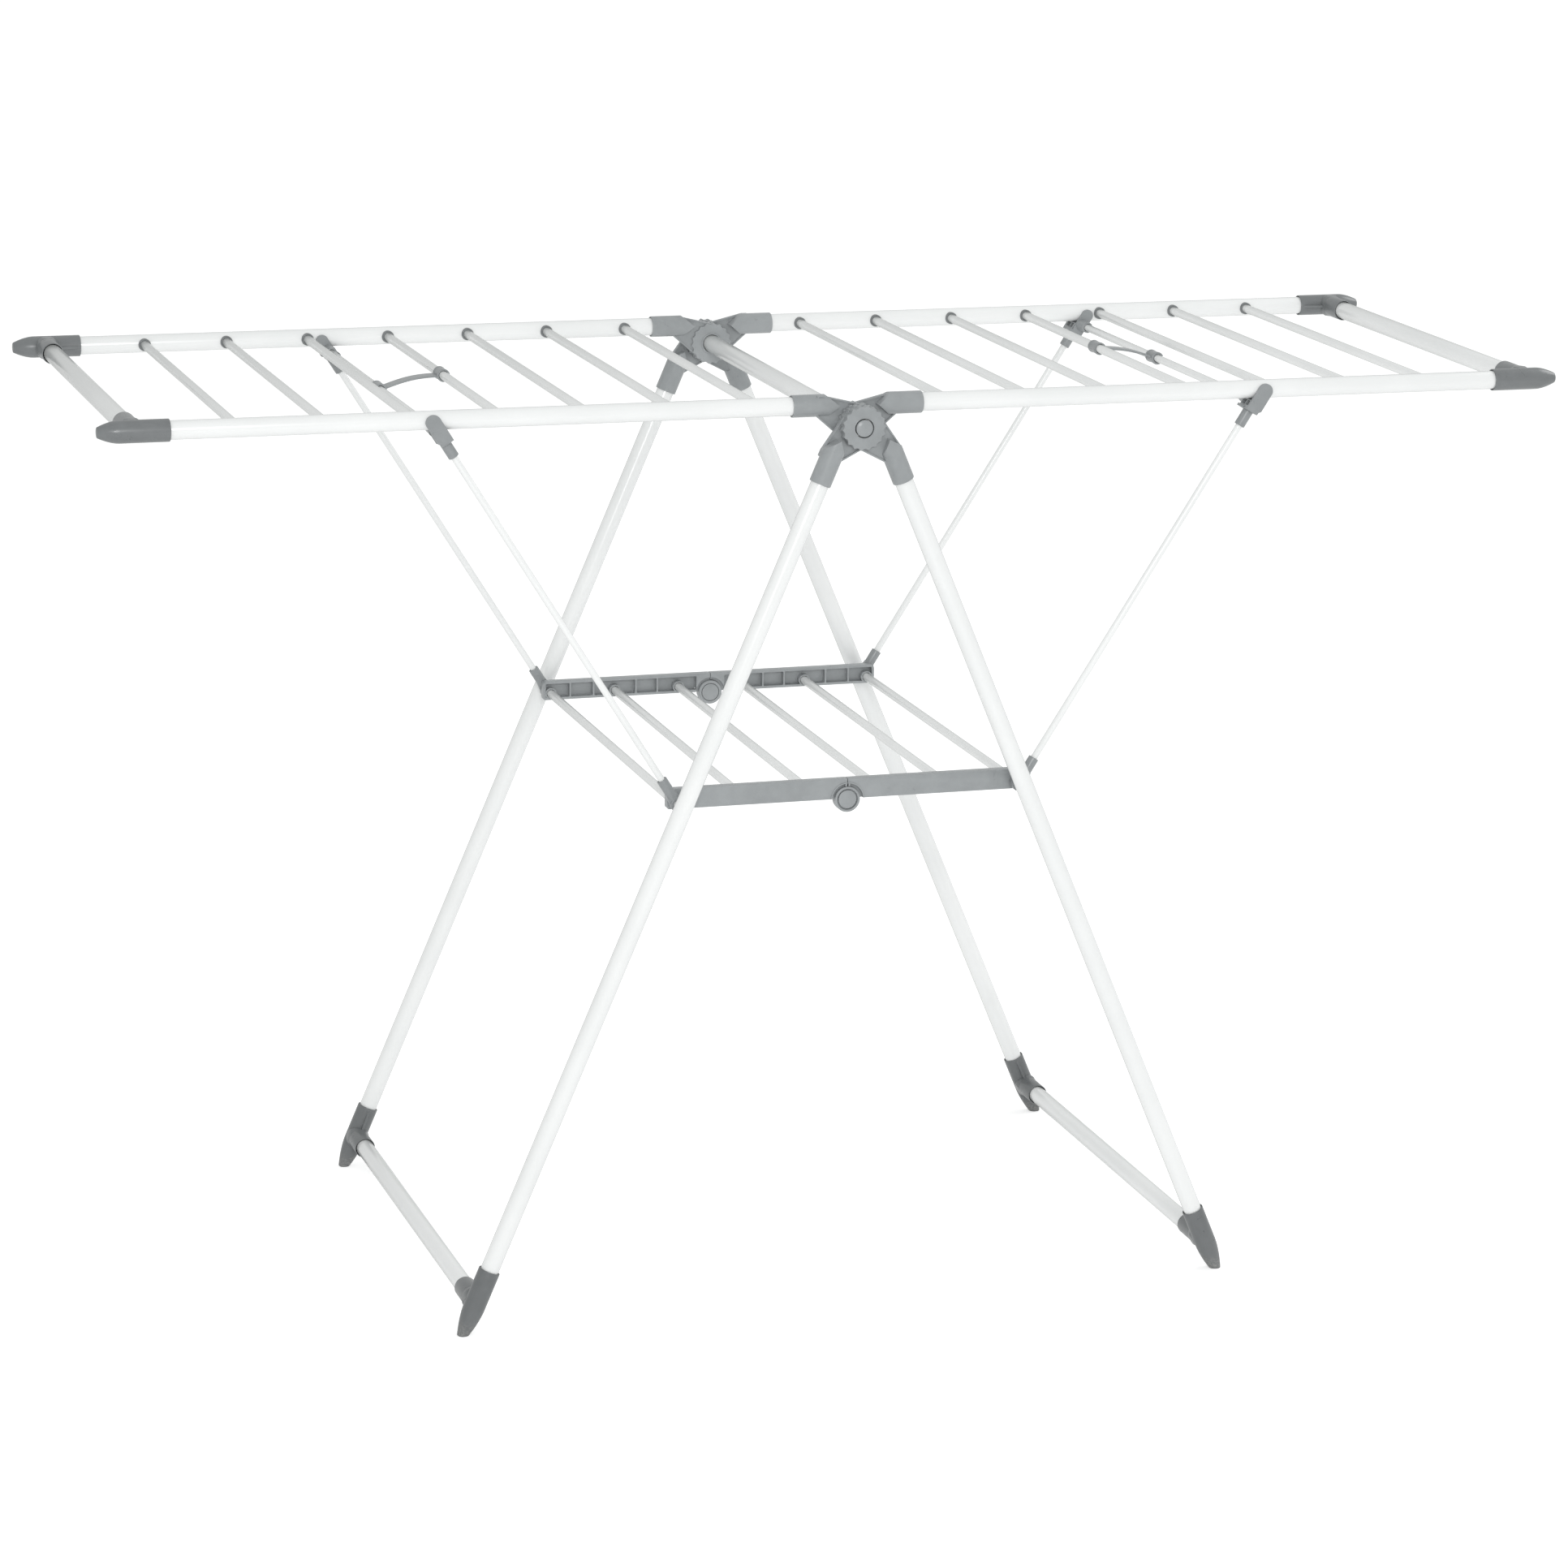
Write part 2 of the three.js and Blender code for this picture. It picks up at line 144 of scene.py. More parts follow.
# edge is a painted shade colour, laid on where the coat is seen at a glancing angle
powderCoat = {
    "white": (0.852, 0.86, 0.858, 1), "shade": (0.818, 0.828, 0.826, 1), "mark": (0.72, 0.725, 0.72, 1),
    "edge": (0.40, 0.415, 0.41, 1), "roughness": 0.2, "peelSize": 1300, "peelHeight": 0.00003,
    "marks": 0.35,
}


def makePowderCoat():
    paint = Paint("whitePowderCoat")
    cloud = paint.noise(9, 3)
    peel = paint.noise(powderCoat["peelSize"], 2) + 0.4 * paint.noise(380, 1)  # orange peel
    specks = paint.noise(900, 4, 0.7).between(0.66, 0.74)
    marks = paint.noise(28, 6, 0.62).between(0.57, 0.72) * powderCoat["marks"]  # rubbed by pegs and hands
    colour = paint.blend(cloud.between(0.35, 0.7), powderCoat["white"], powderCoat["shade"])
    colour = paint.blend(marks * 0.3 + specks * 0.25, colour, powderCoat["mark"])
    grazingShade = paint.node("ShaderNodeLayerWeight", {}, {"Blend": 0.5}, "Facing").between(0.6, 0.98)
    # painted shade: darker where the coat is seen at a glancing angle
    colour = paint.blend(grazingShade * 0.85, colour, powderCoat["edge"])
    rough = powderCoat["roughness"] + marks * 0.16 + (cloud - 0.5) * 0.1
    return paint.finish(
        Base_Color=colour, Roughness=rough, Metallic=0.0, Coat_Weight=0.25, Coat_Roughness=0.18,
        Normal=paint.height(peel - specks * 0.5, 0.35, powderCoat["peelHeight"]),
    )


# one grey plastic in several tones: the cap tone is darker as painted shade, and the foot tone is partly
# the foot's own darker plastic and partly painted shade
mouldedPlastic = {
    "hub": 0.325, "cap": 0.185, "foot": 0.155, "saddle": 0.29,
    "roughness": 0.3, "sparkSize": 2600, "sparkHeight": 0.00005, "scuffs": 0.5,
}


def makePlastic(name, tone, grime=False):
    paint = Paint(name)
    mottle = paint.noise(70, 4, 0.6)
    cloud = paint.noise(14, 2)
    flow = paint.noise(60, 3, 0.5, paint.stretched(1, 6, 1))  # melt flow lines
    spark = paint.noise(mouldedPlastic["sparkSize"], 2)  # spark eroded mould texture
    scuffs = paint.noise(150, 6, 0.72).between(0.6, 0.74) * mouldedPlastic["scuffs"]
    shift = (mottle - 0.5) * 0.5 + (cloud - 0.5) * 0.6 + (flow - 0.5) * 0.35
    colour = paint.blend((shift + 0.5).between(0.2, 0.8), grey(tone * 0.88, 0.05), grey(tone * 1.08, 0.05))
    colour = paint.blend(scuffs * 0.35, colour, grey(min(tone * 1.7, 0.6), 0.04))
    rough = mouldedPlastic["roughness"] + (mottle - 0.5) * 0.16 + scuffs * 0.2
    bump = spark + scuffs * 0.8 + flow * 0.5
    if grime:
        # floor dust and scrapes on the lowest part of the foot
        height = paint.node("ShaderNodeSeparateXYZ", {}, {"Vector": paint.place}, "Z")
        low = 1 - (height + (mottle - 0.5) * 0.02).between(0.001, 0.02)
        scrapes = low * paint.noise(240, 5, 0.7, paint.stretched(1, 5, 3)).between(0.42, 0.62)
        colour = paint.blend(scrapes * 0.55, colour, (0.36, 0.35, 0.33, 1))
        rough = rough + low * 0.18
        bump = bump + scrapes * 0.9
    return paint.finish(
        Base_Color=colour, Roughness=rough, Metallic=0.0,
        Normal=paint.height(bump, 0.5, mouldedPlastic["sparkHeight"]),
    )


whiteCoat = makePowderCoat()
hubPlastic = makePlastic("hubPlastic", mouldedPlastic["hub"])
# painted shade: caps and rung grommets get a darker tone of the hub plastic
shadedCapPlastic = makePlastic("shadedCapPlastic", mouldedPlastic["cap"])
saddlePlastic = makePlastic("saddlePlastic", mouldedPlastic["saddle"])
# partly painted shade: the feet get a darker tone, partly their own darker plastic
darkShadedFootPlastic = makePlastic("darkShadedFootPlastic", mouldedPlastic["foot"], grime=True)
print("materials ready")


def rounded(points, radius=0.5, closed=True, steps=3):
    # softens the corners of a line of (a, b) points; a third number is that corner's own radius
    result = []
    count = len(points)
    for n, point in enumerate(points):
        here = Vector(point[:2])
        own = point[2] if len(point) > 2 else radius
        if own < 1e-6 or (not closed and n in (0, count - 1)):
            result.append(tuple(here))
            continue
        before = Vector(points[n - 1][:2]) - here
        after = Vector(points[(n + 1) % count][:2]) - here
        start = here + before.normalized() * min(own, before.length * 0.45)
        end = here + after.normalized() * min(own, after.length * 0.45)
        for k in range(steps + 1):
            t = k / steps
            result.append(tuple(start * (1 - t) ** 2 + here * 2 * t * (1 - t) + end * t ** 2))
    return result


def meshOf(bm):
    bmesh.ops.recalc_face_normals(bm, faces=bm.faces)
    mesh = bpy.data.meshes.new("solid")
    bm.to_mesh(mesh)
    bm.free()
    return mesh


axisPoint = {
    "X": lambda along, a, b: (along, a, b),
    "-X": lambda along, a, b: (-along, a, b),
    "Y": lambda along, a, b: (b, along, a),
    "Z": lambda along, a, b: (a, b, along),
}


def turned(profile, axis, centre=(0, 0, 0), sides=48, closed=False, wave=None):
    # a solid of revolution: profile is (along the axis, radius); wave changes the radius by angle
    bm = bmesh.new()
    middle = Vector(centre)
    rings = []
    for along, radius in profile:
        if radius < 1e-4:
            rings.append([bm.verts.new(middle + Vector(axisPoint[axis](along, 0, 0)))])
            continue
        ring = []
        for n in range(sides):
            angle = 2 * math.pi * n / sides
            r = wave(angle, radius) if wave else radius
            place = axisPoint[axis](along, r * math.cos(angle), r * math.sin(angle))
            ring.append(bm.verts.new(middle + Vector(place)))
        rings.append(ring)
    pairs = list(zip(rings, rings[1:])) + ([(rings[-1], rings[0])] if closed else [])
    for low, high in pairs:
        for n in range(sides):
            m = (n + 1) % sides
            if len(low) == 1 and len(high) == 1:
                break
            if len(low) == 1:
                bm.faces.new((low[0], high[n], high[m]))
            elif len(high) == 1:
                bm.faces.new((low[n], high[0], low[m]))
            else:
                bm.faces.new((low[n], high[n], high[m], low[m]))
    return meshOf(bm)


def rod(radius, low, high, axis, centre=(0, 0, 0), sides=40, edge=0.3):
    line = rounded([(low, 0), (low, radius, edge), (high, radius, edge), (high, 0)], edge, closed=False)
    return turned(line, axis, centre, sides)


def pipe(radius, bore, low, high, axis, centre=(0, 0, 0), sides=40, edge=0.25):
    line = rounded([(low, bore, 0), (low, radius, edge), (high, radius, edge), (high, bore, 0)], edge)
    return turned(line, axis, centre, sides, closed=True)


planePoint = {
    "XZ": lambda a, b, depth: (a, depth, b),
    "XY": lambda a, b, depth: (a, b, depth),
}


def slab(outline, low, high, edge=0.4, plane="XZ"):
    # a plate with softened edges, its outline in a plane and its thickness across it
    bm = bmesh.new()
    rows = [[bm.verts.new(planePoint[plane](a, b, depth)) for a, b in outline] for depth in (low, high)]
    caps = [bm.faces.new(row) for row in rows]
    count = len(outline)
    for n in range(count):
        m = (n + 1) % count
        bm.faces.new((rows[0][n], rows[0][m], rows[1][m], rows[1][n]))
    if edge:
        rims = list({e for face in caps for e in face.edges})
        bmesh.ops.bevel(bm, geom=rims, offset=edge, segments=2, profile=0.6, affect="EDGES",
                        clamp_overlap=True)
    return meshOf(bm)


def brick(x, y, z, edge=0.0):
    return slab([(x[0], z[0]), (x[1], z[0]), (x[1], z[1]), (x[0], z[1])], y[0], y[1], edge)


def carved(base, *steps):
    # joins and cuts solids one after another, each step (operation, solid)
    body = bpy.data.objects.new("body", base)
    helpers = [body]
    bpy.context.scene.collection.objects.link(body)
    for operation, mesh in steps:
        tool = bpy.data.objects.new("tool", mesh)
        bpy.context.scene.collection.objects.link(tool)
        helpers.append(tool)
        step = body.modifiers.new("step", "BOOLEAN")
        step.operation = operation
        step.object = tool
        step.solver = "MANIFOLD"
    bpy.context.view_layer.update()
    depsgraph = bpy.context.evaluated_depsgraph_get()
    result = bpy.data.meshes.new_from_object(body.evaluated_get(depsgraph), depsgraph=depsgraph)
    for helper in helpers:
        bpy.data.objects.remove(helper)
    return result


add, cut, keep = "UNION", "DIFFERENCE", "INTERSECT"


def convexInset(points, distance):
    # a convex outline moved inwards by a distance
    area = sum(a[0] * b[1] - b[0] * a[1] for a, b in zip(points, points[1:] + points[:1]))
    turn = 1 if area > 0 else -1
    lines = []
    for a, b in zip(points, points[1:] + points[:1]):
        along = (Vector(b) - Vector(a)).normalized()
        inward = Vector((-along.y, along.x)) * turn
        lines.append((Vector(a) + inward * distance, along))
    result = []
    for (p, d), (q, e) in zip(lines[-1:] + lines[:-1], lines):
        across = d.x * e.y - d.y * e.x
        step = ((q.x - p.x) * e.y - (q.y - p.y) * e.x) / across
        result.append(tuple(p + d * step))
    return result


rack = {
    "hubHeight": 898, "legLean": 23, "legReach": 947, "wingReach": 712,
    "legOffset": 18.4, "wingOffset": 19.4, "legTubeY": 277.5, "wingTubeY": 255.4,
    "shelfHeight": 525.5, "kneeHeight": 518, "saddleReach": 426,
    "tube": 9.25, "tubeBore": 8.65, "rung": 4.5, "rungBore": 4.1, "wire": 3.4, "crossRod": 3.9,
    "pivotPinEnd": 267.8, "axleHalf": 279.4, "crossTubeInset": 6.3,
}
lean = math.radians(rack["legLean"])
legTopX = -rack["legOffset"] * math.cos(lean)
legTopZ = rack["hubHeight"] + rack["legOffset"] * math.sin(lean)
shelfPivotX = legTopX - (legTopZ - rack["shelfHeight"]) * math.tan(lean)
shelfPitch = -2 * shelfPivotX / 5
wingHeight = rack["hubHeight"] + rack["wingOffset"]
strutRun = rack["saddleReach"] + shelfPivotX
strutRise = wingHeight - rack["shelfHeight"]
strutLength = math.hypot(strutRun, strutRise)
strutTurn = math.atan2(strutRun, strutRise)

# the left half's own frames; the right half is the left one turned by half a turn
hubPlace = Matrix.Translation((0, 0, rack["hubHeight"]))
armPlace = {"leg": hubPlace @ Matrix.Rotation(lean - math.pi / 2, 4, "Y"), "wing": hubPlace}
strutPlace = Matrix.Translation((shelfPivotX, 0, rack["shelfHeight"])) @ Matrix.Rotation(-strutTurn, 4, "Y")
halfTurn = {"left": Matrix.Identity(4), "right": Matrix.Rotation(math.pi, 4, "Z")}
flipY = Matrix.Diagonal((1, -1, 1, 1))
rowOf = {("left", -1): "front", ("left", 1): "back", ("right", -1): "back", ("right", 1): "front"}


def piece(name, mesh, place, look, body, slot, *nodes):
    # one finished piece, in metres, riding on its body and standing for its CAD nodes
    own = mesh.copy()
    own.name = name
    own.transform(Matrix.Scale(0.001, 4) @ place)
    if place.is_negative:
        own.flip_normals()
    own.materials.clear()
    own.materials.append(look)
    own.shade_smooth()
    own.set_sharp_from_angle(angle=math.radians(34))
    obj = bpy.data.objects.new(name, own)
    bpy.context.scene.collection.objects.link(obj)
    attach(obj, body)
    if nodes:
        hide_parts(*nodes)
    return obj


def bothHalves(build):
    for half in ("left", "right"):
        for side in (-1, 1):
            flip = flipY if side < 0 else Matrix.Identity(4)
            build(half, side, rowOf[half, side], halfTurn[half], flip)


steelTubes = {"sides": 48, "rungSides": 32, "start": 36, "seat": 12.3, "wingRungs": 7, "firstRung": 97.4,
              "pitch": 85.6}


def makeTubes():
    for arm, cross in (("leg", "foot_bar"), ("wing", "wing_end_tube")):
        reach, offset, tubeY = rack[arm + "Reach"], rack[arm + "Offset"], rack[arm + "TubeY"]
        side = pipe(rack["tube"], rack["tubeBore"], steelTubes["start"], reach - steelTubes["seat"], "-X",
                    (0, tubeY, offset), steelTubes["sides"])
        half = tubeY - rack["crossTubeInset"]
        across = pipe(rack["tube"], rack["tubeBore"], -half, half, "Y", (-reach, 0, offset),
                      steelTubes["sides"])

        def build(end, sign, row, turn, flip):
            piece(f"{arm}Tube_{row}_{end}", side, turn @ armPlace[arm] @ flip, whiteCoat,
                  f"{arm}_{end}", "white_powder_coat", f"{arm}_tube_{row}_{end}")
        bothHalves(build)
        for end in ("left", "right"):
            piece(f"{arm}CrossTube_{end}", across, halfTurn[end] @ armPlace[arm], whiteCoat,
                  f"{arm}_{end}", "white_powder_coat", f"{cross}_{end}")
    half = rack["axleHalf"]
    axle = pipe(rack["tube"], rack["tubeBore"], -half, half, "Y", (0, 0, rack["hubHeight"]),
                steelTubes["sides"])
    piece("hubAxle", axle, Matrix.Identity(4), whiteCoat, "leg_left", "white_powder_coat",
          "axle_and_leg_hub_back_left")


wingRungs = {"grommet": 6.4, "bore": 4.55, "lip": 243.9, "back": 248.8, "half": 245.8}


def makeWingRungs():
    offset = rack["wingOffset"]
    for n in range(steelTubes["wingRungs"]):
        x = -(steelTubes["firstRung"] + n * steelTubes["pitch"])
        half = wingRungs["half"]
        rung = pipe(rack["rung"], rack["rungBore"], -half, half, "Y", (x, 0, offset),
                    steelTubes["rungSides"])
        lip, back, bore, radius = (wingRungs[key] for key in ("lip", "back", "bore", "grommet"))
        line = rounded([(lip, bore, 0.2), (lip, radius, 0.9), (back, radius, 0), (back, bore, 0)], 0.3)
        grommet = turned(line, "Y", (x, 0, offset), 36, closed=True)
        for end in ("left", "right"):
            place = halfTurn[end] @ armPlace["wing"]
            piece(f"wingRung_{end}_{n + 1}", rung, place, whiteCoat,
                  f"wing_{end}", "white_powder_coat", f"wing_rung_{end}_{n + 1}")
            for flip, tag in ((Matrix.Identity(4), "a"), (flipY, "b")):
                piece(f"rungGrommet_{end}_{n + 1}{tag}", grommet, place @ flip, shadedCapPlastic, f"wing_{end}",
                      "grey_plastic")


makeTubes()
makeWingRungs()
print("tubes and wing rungs made")


hub = {
    "disc": 22.3, "lobes": 18, "lobeDepth": 1.9, "clearance": 23.4, "sleeve": 11, "bore": 9.6,
    "mouth": 66.5, "full": 33, "tip": 20, "pocketDepth": 1.7, "pocketRim": 1.5,
    "layers": {
        "outerLeg": {"disc": (275.5, 283.9), "web": (275.8, 281.0), "phase": 0.0},
        "innerLeg": {"disc": (266.8, 275.2), "web": (268.5, 273.5), "phase": 0.17},
        "outerWing": {"disc": (258.1, 266.4), "web": (258.4, 262.4), "phase": 0.08},
        "innerWing": {"disc": (249.4, 257.7), "web": (251.0, 255.5), "phase": 0.25},
    },
}


def lobedDisc(layer, outermost, innermost):
    low, high = hub["layers"][layer]["disc"]
    phase = hub["layers"][layer]["phase"]
    radius = hub["disc"]

    def wave(angle, r):
        if r < 20:
            return r
        swing = 0.5 - 0.5 * math.cos(hub["lobes"] * (angle + phase))
        return r - hub["lobeDepth"] * swing ** 0.7

    bore = 9.65
    face = high - 0.35
    if outermost:
        # the axle plug sits in a round recess with a thin raised lip
        outer = [(high - 3.6, bore, 0), (high - 3.6, 9.7, 0), (high, 9.7, 0.2), (high, 10.6, 0.3),
                 (face, 10.9, 0.2)]
    else:
        outer = [(face, bore, 0.2)]
    inner = [(low, bore, 0.2)]
    if innermost:
        inner = [(low - 1.2, bore, 0.2), (low - 1.2, 11.2, 0.4), (low, 11.5, 0.3)]
    line = inner + [(low, radius, 0.7)] + [(face, radius, 0.8)] + outer[::-1]
    return turned(rounded(line, 0.3), "Y", (0, 0, 0), 16 * hub["lobes"] // 2, closed=True, wave=wave)


def tangent(reach, height, turn):
    distance = math.hypot(reach, height)
    angle = math.atan2(height, reach) + turn * math.acos((hub["disc"] - 1.6) / distance)
    return (-(hub["disc"] - 1.6) * math.cos(angle), (hub["disc"] - 1.6) * math.sin(angle))


def hubMoulding(arm, layer):
    offset, tubeY = rack[arm + "Offset"], rack[arm + "TubeY"]
    r = hub["sleeve"]
    low, high = offset - r, offset + r
    webLow, webHigh = hub["layers"][layer]["web"]
    outline = [
        tangent(hub["full"] + 9, low, -1), tangent(hub["full"] + 3, high, 1),
        (-hub["full"] - 3, high - 0.5), (-hub["full"] - 9, high - 0.5), (-hub["full"] - 9, low + 0.5),
    ]
    web = carved(
        slab(rounded(outline, 0.6), webLow, webHigh, 0.35),
        (cut, slab(convexInset(outline, hub["pocketRim"]), webHigh - hub["pocketDepth"], webHigh + 1, 0)),
        (cut, slab(convexInset(outline, hub["pocketRim"]), webLow - 1, webLow + 0.9, 0)),
        (cut, rod(14, webLow - 2, webHigh + 2, "Y", sides=48, edge=0)),
    )
    line = rounded([
        (hub["tip"] - 1, 0, 0), (hub["tip"] - 1, r, 0), (hub["mouth"], r, 0.7),
        (hub["mouth"], hub["bore"] + 0.25, 0.3),
        (hub["mouth"] - 5, hub["bore"], 0), (steelTubes["start"] - 0.4, hub["bore"], 0),
        (steelTubes["start"] - 0.4, 0, 0),
    ], 0.3, closed=False)
    prism = [
        (-hub["mouth"] - 1, low - 1), (-hub["full"], low - 1), (-hub["full"], low), (-hub["tip"], offset),
        (-hub["full"], high), (-hub["full"], high + 1), (-hub["mouth"] - 1, high + 1),
    ]
    sleeve = carved(
        turned(line, "-X", (0, tubeY, offset), 64),
        (keep, slab(prism, tubeY - 20, tubeY + 20, 0)),
        (cut, rod(hub["clearance"], tubeY - 20, tubeY + 20, "Y", sides=96, edge=0)),
    )
    disc = lobedDisc(layer, layer == "outerLeg", layer == "innerWing")
    bore = rod(hub["bore"], steelTubes["start"] - 0.4, hub["mouth"] - 2, "-X", (0, tubeY, offset), 64, 0)
    return carved(web, (cut, bore), (add, sleeve), (add, disc))


def makeHubs():
    meshes = {
        ("leg", -1): hubMoulding("leg", "innerLeg"), ("leg", 1): hubMoulding("leg", "outerLeg"),
        ("wing", -1): hubMoulding("wing", "outerWing"), ("wing", 1): hubMoulding("wing", "innerWing"),
    }

    def build(end, side, row, turn, flip):
        for arm in ("leg", "wing"):
            node = f"{arm}_hub_{row}_{end}"
            if node == "leg_hub_back_left":
                node = "axle_and_" + node
            piece(f"{arm}Hub_{row}_{end}", meshes[arm, side], turn @ armPlace[arm] @ flip, hubPlastic,
                  f"{arm}_{end}", "grey_plastic", node)
    bothHalves(build)
    dome = rounded([(279.6, 0), (279.6, 8.0), (281, 8.5), (284.1, 8.5, 0.5), (284.6, 7.5, 0.6),
                    (285.5, 5.2, 1),
                    (285.8, 2.4, 0.5), (285.85, 0)], 0.3, closed=False)
    plug = turned(dome, "Y", (0, 0, rack["hubHeight"]), 48)
    piece("axlePlug_back", plug, Matrix.Identity(4), hubPlastic, "leg_left", "grey_plastic")
    piece("axlePlug_front", plug, flipY, hubPlastic, "leg_left", "grey_plastic")


makeHubs()
print("hub mouldings made")


corner = {
    "radius": 11, "bore": 9.6, "mouth": 35, "seat": 12, "boss": 47, "bossSeat": 6, "tip": 5,
    "nose": {"wing": (34, 21), "leg": (38, 33)}, "finHeight": 4.6, "finLength": 22, "finThickness": 2.6,
}


def trimmed(collar, reach, offset, tubeY):
    # the swelling where the boss leaves the sleeve stays inside the sleeve's own thickness
    limit = brick((-reach - 14, -reach + 14), (tubeY - 20, tubeY),
                  (offset - corner["radius"], offset + corner["radius"]))
    return carved(collar, (keep, limit))


def cornerMoulding(arm):
    reach, offset, tubeY = rack[arm + "Reach"], rack[arm + "Offset"], rack[arm + "TubeY"]
    r = corner["radius"]
    nose, taper = corner["nose"][arm]
    line = [(reach - corner["seat"], 0, 0), (reach - corner["seat"], corner["bore"], 0),
            (reach - corner["mouth"] + 5, corner["bore"], 0),
            (reach - corner["mouth"], corner["bore"] + 0.35, 0.3),
            (reach - corner["mouth"], r, 0.8), (reach + nose - taper, r, 0)]
    for n in range(1, 9):
        t = n / 8
        line.append((reach + nose - taper * (1 - t), r - (r - corner["tip"]) * t ** 1.7,
                     1.0 if n == 8 else 0))
    line.append((reach + nose, 0, 0))
    body = turned(rounded(line, 0.3, closed=False), "-X", (0, tubeY, offset), 64)
    low = tubeY - corner["boss"]
    boss = turned(rounded([(low, 0), (low, r, 1.0), (tubeY - 2, r, 0), (tubeY - 2, 0)], 0.5, closed=False),
                  "Y", (-reach, 0, offset), 64)
    socket = turned([(low - 1, 0), (low - 1, 10.25), (low + 4, 10.1), (low + 4.5, corner["bore"]),
                     (tubeY - corner["bossSeat"], corner["bore"]), (tubeY - corner["bossSeat"], 0)],
                    "Y", (-reach, 0, offset), 64)
    # a thin fin stiffens the inside corner
    edge = tubeY - r
    fin = slab(rounded([(-reach + r - 3, edge + 3), (-reach + r - 3, edge - corner["finHeight"]),
                        (-reach + r + 2, edge - corner["finHeight"], 2),
                        (-reach + r + corner["finLength"], edge - 0.4, 2),
                        (-reach + r + corner["finLength"], edge + 3)], 0.4),
               offset - corner["finThickness"] / 2, offset + corner["finThickness"] / 2, 0.6, "XY")
    collar = turned(rounded([(tubeY - 16, 10), (tubeY - 16, r + 0.02, 0), (tubeY - 9, r + 1.6, 2),
                             (tubeY - 2, r + 0.02, 0),
                             (tubeY - 2, 10)], 0.3), "Y", (-reach, 0, offset), 64, closed=True)
    steps = [(add, boss), (add, fin), (add, trimmed(collar, reach, offset, tubeY)), (cut, socket)]
    if arm == "leg":
        floor = brick((-460, -340), (150, 330), (-60, 0))
        floor.transform(armPlace["leg"].inverted())
        steps.append((cut, floor))
    return carved(body, *steps)


def makeCorners():
    meshes = {"leg": cornerMoulding("leg"), "wing": cornerMoulding("wing")}

    def build(end, side, row, turn, flip):
        piece(f"wingCap_{row}_{end}", meshes["wing"], turn @ armPlace["wing"] @ flip, shadedCapPlastic,
              f"wing_{end}", "grey_plastic", f"wing_cap_{row}_{end}")
        piece(f"foot_{row}_{end}", meshes["leg"], turn @ armPlace["leg"] @ flip, darkShadedFootPlastic,
              f"leg_{end}", "foot_plastic", f"foot_{row}_{end}")
    bothHalves(build)


makeCorners()
print("caps and feet made")


shelf = {
    "low": 518.8, "high": 539, "inner": 240, "outer": 249.8, "wall": 2.6, "overhang": 8.5, "rungBoss": 6.4,
    "knob": 13, "knobFace": 9.3, "notch": 16.3, "notchFloor": 246.0, "split": 244.95, "rib": 1.5,
    "pin": 3.8,
}


def trimmedRim(rim, window):
    return carved(rim.copy(), (keep, window))


